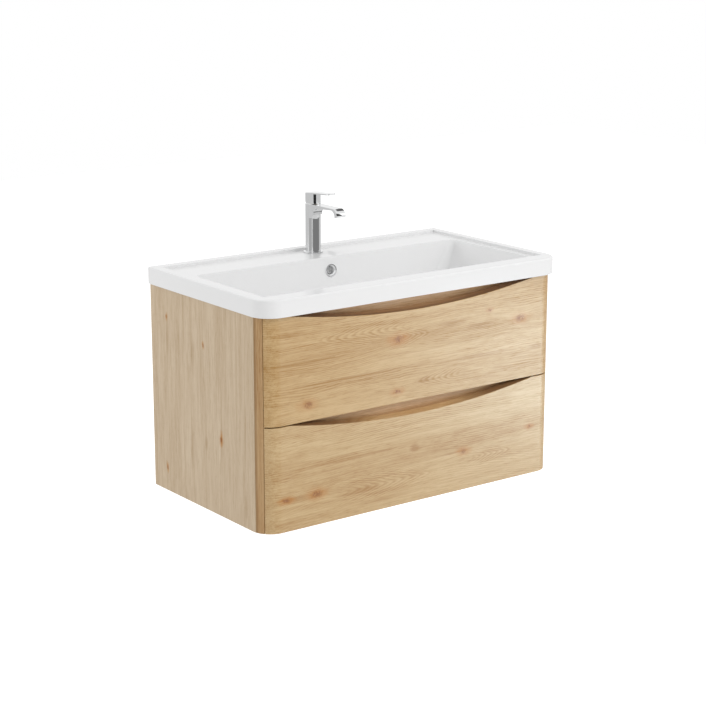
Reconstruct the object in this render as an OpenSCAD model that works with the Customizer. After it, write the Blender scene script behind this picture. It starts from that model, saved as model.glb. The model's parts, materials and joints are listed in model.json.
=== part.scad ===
// Wall-hung vanity: a cabinet with two drawers, a moulded basin and a single-lever mixer tap.
// Millimetres. X runs along the wall, +Y points into the wall, +Z is up.
// The origin is on the wall, in the middle of the four wall fixings.

/* [Cabinet] */
// Width over the side panels
cabinet_w = 890; // [780:5:1190]
// Depth from the wall to the face of the drawer fronts
cabinet_d = 493; // [470:1:520]
// Height of the side panels
cabinet_h = 516; // [500:1:560]
// Height of the cabinet's top edge over the wall fixings
top_over_fixings = 70; // [66:1:80]
// Thickness of the side panels and the bottom panel
panel_t = 18; // [16:1:19]
// Plan radius of the two front corners
corner_r = 50; // [44:1:56]
// Depth of the corner post, from its front edge to the side panel
post_d = 20; // [12:1:26]
// Height of the rear top rail
rear_rail_h = 100; // [95:1:110]
// Height of the rear bottom rail
rear_low_rail_h = 80; // [40:1:90]
// Thickness of the rear rails
rear_rail_t = 18; // [15:1:20]
// Distance from the wall to the rear rails
rear_setback = 18; // [16:1:20]
// Height of the front top rail
front_rail_h = 68; // [50:1:72]
// Height of the middle rail
middle_rail_h = 65; // [50:1:70]
// How far the middle rail rises over the lower drawer front
middle_rail_rise = 12; // [8:1:13]
// Thickness of the front rails
front_rail_t = 12; // [10:1:12]

/* [Drawer fronts] */
// Thickness of a drawer front
front_t = 18; // [16:1:18]
// Gap round the drawer fronts
front_gap = 3; // [2:0.5:4]
// Gap between a drawer front and the corner posts
post_gap = 1.5; // [1:0.1:2]
// Flat left on the thin end of a drawer front
front_end_trim = 1; // [0.6:0.1:2]
// Length of the finger pull along the top edge
smile_w = 740; // [640:5:760]
// Depth of the finger pull at its middle
smile_depth = 32; // [26:1:36]
// How much the edge of the finger pull rises towards the back
smile_rise = 6; // [3:0.5:8]
// Finger room between a drawer front and the rail behind it
finger_gap = 11; // [9:0.5:12]
// Radius of the bumpers on the corner posts
bumper_r = 2.5; // [2:0.1:2.6]
// Thickness of the bumpers
bumper_t = 1.3; // [0.8:0.1:1.4]
// Height of the bumpers from the ends of a drawer front
bumper_inset = 40; // [25:1:60]

/* [Drawer boxes] */
// Travel of the drawers
drawer_travel = 380; // [300:5:390]
// Thickness of the drawer box walls
box_t = 15; // [12:1:16]
// Thickness of the drawer bases
box_base_t = 12; // [8:1:12]
// Distance from the wall to the back of the drawer boxes
box_back_gap = 45; // [42:1:60]
// Height of the upper drawer box
upper_box_h = 118; // [90:1:120]
// Height of the lower drawer box
lower_box_h = 150; // [110:1:160]
// Height of a drawer box over the bottom edge of its front
box_over_front = 20; // [18:1:24]
// Inside width of the trap cut-out
trap_w = 200; // [150:2:260]
// Room in front of the waste inside the trap cut-out
trap_front_room = 75; // [50:1:90]
// Thickness of the trap surround
trap_wall_t = 10; // [6:1:12]

/* [Runners] */
// Distance from the wall to the back of the runners
runner_back_gap = 69.5; // [60:0.5:110]
// Distance from the corner post's front to a runner
runner_front_gap = 4; // [2:0.5:8]
// Width of the room for a runner beside a drawer box
runner_t = 13; // [12.8:0.1:14]
// Height of a runner
runner_h = 45; // [42:0.5:46]
// Thickness of the steel
runner_steel = 1.2; // [1:0.1:1.3]
// Gap between the webs of the cabinet and middle members
web_gap = 0.8; // [0.6:0.05:1]
// Distance between the two sets of slide strips, across the runner
strip_step = 2.6; // [2.4:0.1:2.8]
// Running clearance between runner members
runner_play = 0.3; // [0.2:0.05:0.4]
// Radius of the slide strips between the cabinet and middle members
outer_strip_r = 2.2; // [2:0.1:2.4]
// Radius of the slide strips between the middle and drawer members
inner_strip_r = 1.2; // [1:0.1:1.4]

/* [Wall hangers] */
// Distance from a side panel to the middle of a wall plate
fixing_inset = 42; // [39:1:60]
// Distance between the upper and lower wall fixings
fixing_h = 32; // [28:1:34]
// Radius of the wall fixing holes
fixing_r = 3.25; // [2.5:0.25:4]
// Width of a wall plate
plate_w = 76; // [60:1:80]
// Height of a wall plate
plate_h = 58; // [54:1:60]
// Thickness of the wall plate's steel
plate_t = 2.5; // [2:0.25:3]
// Distance from the wall plate's top edge to its ledge
ledge_drop = 6; // [4:0.5:8]
// How far the wall plate's ledge stands off the wall
ledge_d = 15; // [13:0.5:15.5]
// Height of the lip at the end of the ledge
lip_rise = 10; // [6:0.5:11]
// Width of a hanger
hanger_w = 20; // [16:1:22]
// Depth of a hanger
hanger_d = 34; // [26:1:40]
// Height of a hanger
hanger_h = 44; // [36:1:46]
// Width of the hanger's hook
hook_w = 8; // [6:1:9]
// Height of the hook's arm
hook_h = 12; // [9:0.5:13]
// Thickness of the hook's tooth
tooth_t = 5; // [4:0.5:5.5]
// Depth of the hook's tooth under its arm
tooth_h = 7; // [5:0.5:8]
// Clearance of the hook in the rear rail
hook_clear = 2; // [1:0.25:3]
// Radius of the adjusting screws
adjuster_r = 4; // [3:0.25:4.5]
// How far the adjusting screws stand out of a hanger
adjuster_proud = 1.5; // [0.5:0.25:2]
// Wall of the plastic covers
cover_t = 1.6; // [1.2:0.1:2]
// Clearance between a cover and its hanger
cover_clear = 0.3; // [0.2:0.05:0.5]

/* [Basin] */
// Overhang of the basin at each side of the cabinet
side_overhang = 5; // [2:0.5:10]
// Overhang of the basin in front of the drawer fronts
front_overhang = 12; // [8:0.5:16]
// Height of the basin's edge
basin_h = 42; // [38:1:50]
// Plan radius of the basin's front corners
basin_corner_r = 52; // [44:1:60]
// Radius along the basin's top edge
basin_edge_r = 3.5; // [2:0.5:5]
// Width of the raised lip at the back and the sides
lip_w = 25; // [18:1:32]
// Height of the lip over the tap deck
lip_h = 6; // [4:0.5:9]
// Depth of the tap deck, from the wall to the bowl
deck_d = 137; // [130:1:150]
// Width of the rim beside the bowl
side_rim = 48; // [44:1:70]
// Width of the rim in front of the bowl
front_rim = 46; // [45:1:54]
// Depth of the bowl under the deck
bowl_depth = 115; // [105:1:118]
// Slope of the bowl's side and front walls, in degrees from upright
bowl_slope = 27.5; // [27:0.5:30]
// Slope of the bowl's back wall, in degrees from upright
bowl_back_slope = 5; // [2:0.5:10]
// Plan radius of the bowl's corners at the top
bowl_top_r = 12; // [6:1:20]
// Radius where the bowl's walls meet the floor
bowl_floor_r = 30; // [20:1:34]
// Thickness of the bowl's walls
bowl_t = 10; // [7:0.5:10]
// Thickness of the tap deck
deck_t = 14; // [10:1:16]
// Width of the basin's back edge behind the hollow under the deck
back_edge_t = 30; // [28:1:32]
// Height of the overflow under the top of the lip
overflow_drop = 41; // [38:1:48]
// Radius of the overflow hole
overflow_hole_r = 12; // [9:0.5:12]
// Radius of the overflow ring
overflow_ring_r = 16.5; // [15:0.5:20]
// Wall of the overflow ring's tube
overflow_wall = 2.4; // [2:0.1:3]
// Width of the flat edge round the overflow ring's flare
overflow_flat = 3; // [2:0.25:4]
// Depth of the flare behind the bowl's wall
overflow_flare = 1.2; // [0.8:0.1:2]
// How far the overflow ring stands proud of the bowl
overflow_proud = 2.2; // [1.5:0.1:4]
// Inside width of the overflow channel
channel_w = 30; // [24:1:34]
// Inside depth of the overflow channel
channel_d = 8; // [6:0.5:9]
// Wall of the overflow channel
channel_wall = 5; // [4:0.5:7]

/* [Waste] */
// Distance from the wall to the waste
waste_from_wall = 262; // [240:1:290]
// Outside radius of the waste tail
tail_r = 20.9; // [19:0.1:21.5]
// Wall of the waste tail
tail_t = 2.4; // [1.8:0.1:3]
// Length of the waste tail under the bowl's floor
tail_len = 92; // [80:1:110]
// Radius of the waste flange
flange_r = 32; // [29:0.5:36]
// Thickness of the waste flange
flange_t = 3; // [2:0.25:4]
// Clearance round the waste flange
flange_gap = 0.5; // [0.3:0.1:1]
// Clearance round the waste tail in the basin
tail_gap = 1.5; // [0.5:0.25:2]
// Radius of the dished floor round the waste
dish_r = 120; // [80:1:130]
// Depth of the dished floor
dish_d = 3; // [1:0.25:4]
// Radius of the waste boss under the bowl
boss_r = 38; // [35:0.5:42]
// Thickness of the rubber seal
seal_t = 4; // [2:0.5:6]
// Thickness of the back nut
waste_nut_t = 10; // [6:0.5:14]
// Depth of the groove between the waste's threads and its tail
groove_d = 0.6; // [0.4:0.1:1]
// Width of that groove
groove_w = 2; // [1:0.25:4]
// Radius of the plug
plug_r = 29; // [24:0.5:31]
// Height of the plug's dome
plug_dome = 3.5; // [2:0.25:5]
// Radius of the plug's stem
plug_stem_r = 4; // [3:0.25:4.5]
// Length of the plug's stem
plug_stem_len = 34; // [28:1:40]
// Gap under the closed plug
plug_gap = 0.3; // [0.2:0.05:0.5]
// Height of the plug's rim
plug_rim_h = 2; // [1:0.25:4]
// Depth of the cross in the tail under the flange
bridge_drop = 30; // [26:1:34]
// Height of the cross in the tail
bridge_h = 12; // [8:0.5:14]
// Thickness of the cross in the tail
bridge_t = 3; // [2:0.25:4]
// Height of the click barrel's hexagon
barrel_head_h = 6; // [4:0.5:8]
// Outside radius of the click barrel
barrel_r = 7; // [6:0.25:8]
// Wall of the hub round the click barrel
hub_t = 3; // [2:0.25:4]
// How far the barrel's hexagon and its shoulder stand out past the barrel
barrel_step = 2; // [1:0.25:2.5]
// Width across the corners of the back nut, as a step in from the boss
nut_step = 3; // [1:0.5:4]

/* [Tap] */
// Distance from the wall to the tap's axis
tap_from_wall = 63; // [60:1:72]
// Radius of the hole in the tap deck
tap_hole_r = 17.5; // [16.8:0.1:18.5]
// Radius of the base ring
base_ring_r = 25; // [22:0.5:28]
// Height of the base ring
base_ring_h = 3.5; // [2:0.25:6]
// Radius of the column
column_r = 19.8; // [19:0.1:22]
// Height of the column's top over the deck
column_top = 126.5; // [115:0.5:160]
// Reach of the spout from the tap's axis
spout_reach = 122; // [105:1:150]
// Width of the spout
spout_w = 28; // [25:0.5:34]
// Thickness of the spout where it leaves the column
spout_root_t = 8.5; // [6.5:0.25:12]
// Thickness of the spout where it turns down
spout_t = 4.5; // [4:0.25:8]
// Radius of the arch under the spout, at the column
arch_r = 18; // [12:0.5:22]
// Radius of the nose, where the spout turns down
nose_r = 20; // [15.5:0.25:21]
// Thickness of the nose
nose_t = 10.5; // [10:0.25:13]
// How far the nose's inner edge reaches below its outer edge
nose_drop = 2; // [0.5:0.25:5]
// Width of the water slot
slot_w = 20; // [14:0.5:22]
// Depth of the water slot
slot_t = 6; // [4:0.25:7]
// Depth of the cavity over the water slot
slot_d = 6; // [4:0.25:7]
// Radius of the spigot that enters the deck
spigot_r = 16.4; // [16:0.1:16.6]
// Depth of the spigot under the deck's top
spigot_d = 12; // [8:0.5:13]
// Radius of the hot and cold inlets
inlet_r = 4.5; // [4:0.25:4.75]
// Depth of the inlet threads
inlet_d = 14; // [10:0.5:20]
// Distance between the hot and cold inlets
inlet_gap = 16; // [12:0.5:16]
// Distance of the inlets in front of the tap's axis
inlet_forward = 5; // [4.75:0.25:6]
// Radius of the fixing stud
stud_r = 4; // [3:0.25:4]
// Length of the fixing stud under the deck's top
stud_len = 58; // [45:1:70]
// Distance of the stud behind the tap's axis
stud_offset = 9; // [8:0.25:10]
// Radius of the clamp washer
clamp_r = 24; // [20:0.5:28]
// Thickness of the clamp washer
clamp_t = 3; // [2:0.25:4]
// Width of the slot in the clamp washer
clamp_slot = 28; // [26:0.5:34]
// Height of the stud's nut
stud_nut_h = 7; // [4:0.5:10]
// Radius of the stud's nut over its corners
stud_nut_r = 7.5; // [6.5:0.25:9]
// Radius of the small holes in the water outlet
outlet_hole_r = 0.6; // [0.4:0.05:0.8]

/* [Tap handle] */
// Radius of the cartridge
cartridge_r = 12.6; // [12:0.1:13]
// Height of the cartridge
cartridge_h = 24; // [20:0.5:28]
// Depth from the column's top to the cartridge's top
cartridge_drop = 8; // [7:0.25:10]
// Depth of the rotor in the cartridge
rotor_d = 12; // [10:0.5:16]
// Wall of the nut that holds the cartridge down
nut_wall = 2.5; // [2:0.25:3]
// Radius of the rotor that carries the lever
rotor_r = 8.94; // [8.5:0.01:9.2]
// Running clearance of the rotor and the lever pin
rotor_play = 0.06; // [0.02:0.01:0.09]
// Gap between the column and the handle
handle_gap = 1; // [0.8:0.1:2]
// Height of the handle at its axis
handle_h = 27.5; // [26:0.5:34]
// Wall of the handle
handle_wall = 4; // [3:0.25:4.5]
// Reach of the lever from the tap's axis
lever_reach = 82; // [50:1:90]
// Width of the lever
lever_w = 27; // [20:0.5:32]
// Thickness of the lever
lever_t = 3.2; // [2.5:0.1:6]
// Slope of the handle's top and the lever at rest, in degrees
lever_slope = 4; // [0:0.5:6]
// Plan radius of the lever's end corners
lever_corner_r = 6; // [3:0.5:10]
// How far the lever lifts, in degrees
lever_lift = 22; // [12:1:24]
// Extra angle of the relief at the handle's back, in degrees
lift_spare = 2; // [0.5:0.25:3]
// Side of the square lever stem
stem_side = 7; // [6:0.1:7.5]
// Depth of the lever pivot under the column's top
pivot_drop = 6; // [5:0.25:7]
// Radius of the lever pin
pin_r = 1.5; // [1.2:0.1:1.8]
// Depth of the stem under the lever pivot
stem_foot = 6; // [4:0.25:7]
// Room under the stem's foot in the rotor's slot
slot_floor_gap = 1.5; // [1:0.25:1.9]
// Depth of the rotor's slot, front to back
rotor_slot_d = 14.4; // [13:0.1:15]
// Thickness over the stem's socket, under the lever
socket_roof = 3; // [2:0.25:4]
// Wall round the stem's socket
socket_wall = 4.5; // [3:0.25:5]
// Height of the socket's mouth over the handle's lower edge
socket_rise = 4; // [3.5:0.25:6]
// Radius of the handle screw
grub_r = 2; // [1.5:0.1:2.5]
// How deep the handle screw sits in its hole
grub_sunk = 2; // [1:0.25:4]

/* [Hidden] */
$fn = 64;
// Facets of the long, shallow arc of the finger pull
smile_fn = 720;
// Facets inside the bowl's hulls
bowl_fn = 32;
// Overlap of a cutting solid past the face that it cuts
cut = 1;
// Clearance of a piece that is seated in another
fit = 0.05;
// Gap left where one piece rests on another and can be lifted off
seat_gap = 0.3;
// Depth to which a slide strip is joined to its runner member
strip_weld = 0.3;
// Gap round the rotor in its nut
nut_gap = 0.5;
// Thickness of the thin discs that start the bowl's hulls
skin = 0.02;

// Colours
oak = "burlywood";
rail_oak = "tan";
white = "whitesmoke";
chrome = "silver";
zinc = "lightslategray";
brass = "goldenrod";
rubber = "dimgray";
board = "gainsboro";

// Levels of the cabinet
top_z = top_over_fixings;
bottom_z = top_z - cabinet_h;
front_h = (cabinet_h - 2 * front_gap) / 2;
upper_front_z = bottom_z + front_h + front_gap;
lower_front_z = bottom_z;

// Depths of the cabinet
half_w = cabinet_w / 2;
inner_half_w = half_w - panel_t;
fixing_w = 2 * (inner_half_w - fixing_inset);
face_y = -cabinet_d;
front_back_y = face_y + front_t;
post_front_y = front_back_y + post_gap;
post_back_y = post_front_y + post_d;
rail_front_y = front_back_y + finger_gap;
rear_rail_y = -rear_setback;
corner_y = face_y + corner_r;

// Where the round corner meets the back of a drawer front
tip_run = sqrt(corner_r * corner_r - pow(corner_y - front_back_y, 2));
front_half_w = half_w - corner_r + tip_run - front_end_trim;
smile_r = (pow(smile_w / 2, 2) + pow(smile_depth, 2)) / (2 * smile_depth);

// Drawer boxes
box_half_w = inner_half_w - runner_t;
box_front_y = front_back_y + box_t;
box_back_y = -box_back_gap;
upper_box_z = upper_front_z + box_over_front;
lower_box_z = lower_front_z + box_over_front;
trap_front_y = -waste_from_wall - trap_front_room;
runner_y = post_front_y + runner_front_gap;
runner_len = -runner_back_gap - runner_y;

// Basin levels and depths
rim_z = top_z + basin_h;
deck_z = rim_z - lip_h;
floor_z = deck_z - bowl_depth;
basin_half_w = half_w + side_overhang;
basin_front_y = face_y - front_overhang;
bowl_half_w = basin_half_w - side_rim;
bowl_front_y = basin_front_y + front_rim;
bowl_back_y = -deck_d;
bowl_run = bowl_depth * tan(bowl_slope);
bowl_back_run = bowl_depth * tan(bowl_back_slope);
boss_z = floor_z - bowl_t - channel_d - channel_wall;
overflow_z = rim_z - overflow_drop;
overflow_y = bowl_back_y - (deck_z - overflow_z) * tan(bowl_back_slope);
waste_y = -waste_from_wall;
waste_nut_z = boss_z - seal_t - waste_nut_t;
seat_z = floor_z - dish_d;
flange_z = seat_z - flange_t;

// Tap heights over the deck
pivot_h = column_top - pivot_drop;
cartridge_top = column_top - cartridge_drop;
cartridge_bottom = cartridge_top - cartridge_h;
rotor_seat = cartridge_top - rotor_d;
handle_bottom = column_top + handle_gap;
handle_top = handle_bottom + handle_h;
socket_top = handle_top - lever_t - socket_roof;
nut_r = cartridge_r + nut_wall;
grub_z = handle_bottom + handle_h / 2;

// Shared shapes

// Mirrors a left-hand piece over to the right
module right_hand() mirror([1, 0, 0]) children();

// Plan of a body that stands against the wall and has two round front corners
module round_plan(half, front, r) {
    translate([-half, front + r]) square([2 * half, -front - r]);
    translate([-half + r, front]) square([2 * (half - r), r]);
    for (side = [-1, 1]) translate([side * (half - r), front + r]) circle(r);
}

// Box between two corners
module block(low, high) translate(low) cube(high - low);

// Cylinder along Y, from a point towards the wall
module y_cylinder(r, length) rotate([-90, 0, 0]) cylinder(r = r, h = length);

// Ring with a bore
module ring(r, bore, height) difference() {
    cylinder(r = r, h = height);
    translate([0, 0, -cut]) cylinder(r = bore, h = height + 2 * cut);
}

// Hexagon nut, given across its corners
module hex_nut(r, bore, height) difference() {
    cylinder(r = r, h = height, $fn = 6);
    translate([0, 0, -cut]) cylinder(r = bore, h = height + 2 * cut);
}

// Cabinet

module cabinet_slice(low, high, z, height)
    translate([0, 0, z]) linear_extrude(height) intersection() {
        round_plan(half_w, face_y, corner_r);
        translate(low) square(high - low);
    }

module side_panel_left() color(oak)
    cabinet_slice([-half_w, post_back_y], [-inner_half_w, 0], bottom_z, cabinet_h);

module side_panel_right() color(oak) right_hand() side_panel_left();

module corner_post_left() color(oak)
    cabinet_slice([-half_w, post_front_y], [-inner_half_w, post_back_y], bottom_z, cabinet_h);

module corner_post_right() color(oak) right_hand() corner_post_left();

module bottom_panel() color(oak)
    block([-inner_half_w, post_front_y, bottom_z], [inner_half_w, rear_rail_y, bottom_z + panel_t]);

module hook_slot()
    translate([
        -inner_half_w + hanger_w / 2 - hook_w / 2 - hook_clear, rear_rail_y - rear_rail_t - cut,
        hook_z() - hook_clear,
    ]) cube([hook_w + 2 * hook_clear, rear_rail_t + 2 * cut, hook_h + 2 * hook_clear]);

module rear_top_rail() color(rail_oak) difference() {
    block([-inner_half_w, rear_rail_y - rear_rail_t, top_z - rear_rail_h],
        [inner_half_w, rear_rail_y, top_z]);
    hook_slot();
    right_hand() hook_slot();
}

module rear_bottom_rail() color(rail_oak)
    block([-inner_half_w, rear_rail_y - rear_rail_t, bottom_z + panel_t],
        [inner_half_w, rear_rail_y, bottom_z + panel_t + rear_low_rail_h]);

module front_rail(top, height)
    block([-inner_half_w, rail_front_y, top - height],
        [inner_half_w, rail_front_y + front_rail_t, top]);

module front_top_rail() color(rail_oak) front_rail(top_z, front_rail_h);

module middle_rail() color(rail_oak)
    front_rail(lower_front_z + front_h + middle_rail_rise, middle_rail_h);

module bumpers() color(rubber)
    for (side = [-1, 1], z = [lower_front_z, upper_front_z], level = [bumper_inset, front_h - bumper_inset])
        translate([side * (inner_half_w + bumper_r), post_front_y - bumper_t, z + level])
            y_cylinder(bumper_r, bumper_t);

// Wall hangers

// Bottom of the hook's arm, just over the lip of the wall plate
function hook_z() = ledge_z() + plate_t + lip_rise + seat_gap;
// Bottom of the wall plate's ledge
function ledge_z() = plate_h / 2 - plate_t - ledge_drop;

module wall_plate_left() color(zinc) {
    difference() {
        translate([-fixing_w / 2 - plate_w / 2, -plate_t, -plate_h / 2]) cube([plate_w, plate_t, plate_h]);
        for (side = [-1, 1]) translate([-fixing_w / 2, -plate_t - cut, side * fixing_h / 2])
            y_cylinder(fixing_r, plate_t + 2 * cut);
    }
    translate([-fixing_w / 2 - plate_w / 2, -ledge_d, ledge_z()]) cube([plate_w, ledge_d, plate_t]);
    translate([-fixing_w / 2 - plate_w / 2, -ledge_d, ledge_z()])
        cube([plate_w, plate_t, plate_t + lip_rise]);
}

module wall_plate_right() color(zinc) right_hand() wall_plate_left();

hanger_back_y = rear_rail_y - rear_rail_t;
hook_x = -inner_half_w + hanger_w / 2 - hook_w / 2;
hook_end_y = -ledge_d + plate_t + seat_gap;

module hanger_left() color(zinc) {
    translate([-inner_half_w, hanger_back_y - hanger_d, hook_z() + hook_h / 2 - hanger_h / 2])
        cube([hanger_w, hanger_d, hanger_h]);
    translate([hook_x, hanger_back_y - cut, hook_z()])
        cube([hook_w, hook_end_y + tooth_t - hanger_back_y + cut, hook_h]);
    translate([hook_x, hook_end_y, hook_z() - tooth_h]) cube([hook_w, tooth_t, tooth_h + cut]);
    for (level = [-1, 1])
        translate([
            -inner_half_w + hanger_w / 2, hanger_back_y - hanger_d - adjuster_proud,
            hook_z() + hook_h / 2 + level * hanger_h / 4,
        ]) y_cylinder(adjuster_r, adjuster_proud + cut);
}

module hanger_right() color(zinc) right_hand() hanger_left();

module hanger_cover_left() {
    skirt = cover_t + cover_clear;
    z = hook_z() + hook_h / 2 - hanger_h / 2;
    front = hanger_back_y - hanger_d - adjuster_proud;
    difference() {
        block([-inner_half_w, front - skirt, z - skirt],
            [-inner_half_w + hanger_w + skirt, hanger_back_y, z + hanger_h + skirt]);
        block([-inner_half_w - cut, front - cover_clear, z - cover_clear],
            [-inner_half_w + hanger_w + cover_clear, hanger_back_y + cut, z + hanger_h + cover_clear]);
    }
}

module hanger_covers() color(white) {
    hanger_cover_left();
    right_hand() hanger_cover_left();
}

// Basin

// Bowl, grown outwards by a wall: flat at the deck, rounded at the floor
module bowl(wall, top) {
    side_in = bowl_floor_r * (1 / cos(bowl_slope) - tan(bowl_slope));
    back_in = bowl_floor_r * (1 / cos(bowl_back_slope) - tan(bowl_back_slope));
    x = bowl_half_w - bowl_run - side_in;
    front = bowl_front_y + bowl_run + side_in;
    back = bowl_back_y - bowl_back_run - back_in;
    // The lowest facets of a sphere lie inside its radius
    low = floor_z + bowl_floor_r * cos(180 / bowl_fn);
    hull() {
        for (side = [-1, 1]) {
            for (y = [bowl_front_y + bowl_top_r, bowl_back_y - bowl_top_r])
                translate([side * (bowl_half_w - bowl_top_r), y, deck_z])
                    cylinder(r = bowl_top_r + wall, h = top, $fn = bowl_fn);
            for (y = [front, back]) translate([side * x, y, low])
                sphere(r = bowl_floor_r + wall, $fn = bowl_fn);
        }
    }
}

// Section of the cut that rounds the top edge, with the edge's corner at the origin
module edge_section() difference() {
    translate([-cut, -basin_edge_r]) square([basin_edge_r + cut, basin_edge_r + cut]);
    translate([basin_edge_r, -basin_edge_r]) circle(basin_edge_r);
}

module edge_cuts() {
    straight_y = basin_front_y + basin_corner_r;
    straight_x = basin_half_w - basin_corner_r;
    translate([0, 0, rim_z]) {
        for (side = [0, 1]) mirror([side, 0, 0]) {
            translate([-basin_half_w, cut, 0]) rotate([90, 0, 0])
                linear_extrude(cut - straight_y) edge_section();
            translate([-straight_x, straight_y, 0]) rotate([0, 0, 180])
                rotate_extrude(angle = 90) translate([basin_corner_r, 0]) mirror([1, 0]) edge_section();
        }
        translate([-straight_x, basin_front_y, 0]) rotate([90, 0, 90])
            linear_extrude(2 * straight_x) edge_section();
    }
}

module overflow_bore(r, from, length)
    translate([0, overflow_y, overflow_z]) rotate([-bowl_back_slope, 0, 0])
        translate([0, from, 0]) y_cylinder(r, length);

duct_half_w = channel_w / 2 + channel_wall;
duct_back_y = bowl_back_y + bowl_t + channel_d + channel_wall;
duct_top_z = deck_z - deck_t;

module basin() color(white) difference() {
    union() {
        difference() {
            translate([0, 0, top_z]) linear_extrude(basin_h)
                round_plan(basin_half_w, basin_front_y, basin_corner_r);
            block([-inner_half_w, bowl_back_y, top_z - cut],
                [inner_half_w, -back_edge_t, deck_z - deck_t]);
        }
        bowl(bowl_t, skin);
        block([-duct_half_w, bowl_back_y - bowl_t, boss_z], [duct_half_w, duct_back_y, duct_top_z]);
        block([-duct_half_w, waste_y, boss_z], [duct_half_w, bowl_back_y, floor_z - bowl_t / 2]);
        translate([0, waste_y, boss_z]) cylinder(r = boss_r, h = floor_z - bowl_t / 2 - boss_z);
    }
    bowl(0, lip_h + cut);
    block([-basin_half_w + lip_w, bowl_front_y, deck_z], [basin_half_w - lip_w, -lip_w, rim_z + cut]);
    edge_cuts();
    translate([0, -tap_from_wall, deck_z - deck_t - cut]) cylinder(r = tap_hole_r, h = deck_t + 2 * cut);
    overflow_bore(overflow_hole_r, -cut, bowl_t + channel_d + cut);
    block([-channel_w / 2, duct_back_y - channel_wall - channel_d, boss_z + channel_wall],
        [channel_w / 2, duct_back_y - channel_wall, overflow_z + overflow_hole_r]);
    block([-channel_w / 2, waste_y, boss_z + channel_wall],
        [channel_w / 2, duct_back_y - channel_wall, boss_z + channel_wall + channel_d]);
    translate([0, waste_y, seat_z]) cylinder(r1 = flange_r + flange_gap, r2 = dish_r, h = dish_d + skin);
    translate([0, waste_y, flange_z]) cylinder(r = flange_r + flange_gap, h = flange_t + skin);
    translate([0, waste_y, boss_z - cut]) cylinder(r = tail_r + tail_gap, h = bowl_depth);
}

module overflow_ring() color(chrome) difference() {
    union() {
        overflow_bore(overflow_ring_r, -overflow_proud, overflow_proud - 2 * fit);
        overflow_bore(overflow_hole_r - fit, -cut, bowl_t);
    }
    overflow_bore(overflow_hole_r - overflow_wall, -overflow_proud - cut, bowl_t + overflow_proud + 2 * cut);
    // Flare of the mouth, narrowing to the tube
    translate([0, overflow_y, overflow_z]) rotate([-bowl_back_slope, 0, 0]) translate([0, overflow_flare, 0])
        rotate([90, 0, 0]) cylinder(
            r1 = overflow_hole_r - overflow_wall, r2 = overflow_ring_r - overflow_flat,
            h = overflow_proud + overflow_flare + skin);
}

// Waste

bridge_z = flange_z - bridge_drop;
barrel_z = bridge_z - barrel_head_h;

// Cross inside the tail that carries the click barrel
module spider() intersection() {
    cylinder(r = tail_r - tail_t / 2, h = bridge_h);
    union() {
        cylinder(r = barrel_r + hub_t, h = bridge_h);
        for (turn = [0, 90]) rotate(turn)
            translate([-tail_r, -bridge_t / 2, 0]) cube([2 * tail_r, bridge_t, bridge_h]);
    }
}

module waste_body() color(chrome) translate([0, waste_y, 0]) difference() {
    union() {
        translate([0, 0, flange_z]) ring(flange_r, tail_r - tail_t, flange_t);
        translate([0, 0, floor_z - tail_len]) ring(tail_r, tail_r - tail_t, tail_len - dish_d);
        translate([0, 0, bridge_z]) spider();
    }
    translate([0, 0, waste_nut_z - groove_w]) ring(tail_r + cut, tail_r - groove_d, groove_w);
    translate([0, 0, bridge_z - cut]) cylinder(r = barrel_r + fit, h = bridge_h + 2 * cut);
    for (turn = [45, 135]) rotate(turn)
        translate([-bridge_h / 2, -tail_r - cut, boss_z + channel_wall])
            cube([bridge_h, 2 * (tail_r + cut), channel_d]);
}

module waste_seal() color(rubber)
    translate([0, waste_y, boss_z - seal_t]) ring(boss_r - nut_step, tail_r + fit, seal_t);

module waste_nut() color(brass)
    translate([0, waste_y, waste_nut_z]) hex_nut(boss_r - nut_step, tail_r + fit, waste_nut_t);

module click_barrel() color(brass) translate([0, waste_y, barrel_z]) difference() {
    union() {
        cylinder(r = barrel_r, h = barrel_head_h + bridge_h);
        cylinder(r = barrel_r + barrel_step, h = barrel_head_h, $fn = 6);
        translate([0, 0, barrel_head_h + bridge_h]) cylinder(r = barrel_r - barrel_step / 2, h = barrel_step);
    }
    translate([0, 0, barrel_step]) cylinder(r = plug_stem_r + rotor_play, h = barrel_head_h + bridge_h + cut);
}

// Round the plug's rim is straight, and its top is a shallow dome
module waste_plug() color(chrome) translate([0, waste_y, seat_z + plug_gap]) {
    dome_r = (plug_r * plug_r + plug_dome * plug_dome) / (2 * plug_dome);
    rotate_extrude() intersection() {
        square([plug_r, plug_rim_h + plug_dome]);
        union() {
            square([plug_r, plug_rim_h]);
            translate([0, plug_rim_h + plug_dome - dome_r]) circle(dome_r, $fn = 256);
        }
    }
    translate([0, 0, -plug_stem_len]) cylinder(r = plug_stem_r, h = plug_stem_len + cut);
}

// Tap, built on the deck round its own axis

module on_deck() translate([0, -tap_from_wall, deck_z]) children();

// Side profile of the spout: reach along X, height along Y
module spout_profile() {
    nose = [spout_reach - nose_r, column_top - nose_r];
    inner_r = nose_r - spout_t;
    inner_x = spout_reach - nose_t - inner_r;
    root = [column_r + arch_r, column_top - spout_root_t];
    polygon([
        [0, root[1]], root, [inner_x, column_top - spout_t],
        [nose[0], column_top - spout_t], [nose[0], column_top], [0, column_top],
    ]);
    // Arch that blends the column into the spout
    difference() {
        translate([0, root[1] - arch_r]) square([root[0], arch_r + cut]);
        translate([root[0], root[1] - arch_r]) circle(arch_r);
    }
    // Nose, round outside, over a smaller arch inside
    difference() {
        intersection() {
            translate(nose) circle(nose_r);
            translate([inner_x, nose[1]]) square([spout_reach - inner_x, nose_r]);
        }
        translate([inner_x, nose[1]]) circle(inner_r);
    }
    // Slanted end of the nose
    polygon([[spout_reach - nose_t, nose[1]], [spout_reach, nose[1]], [spout_reach - nose_t, nose[1] - nose_drop]]);
}

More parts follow.
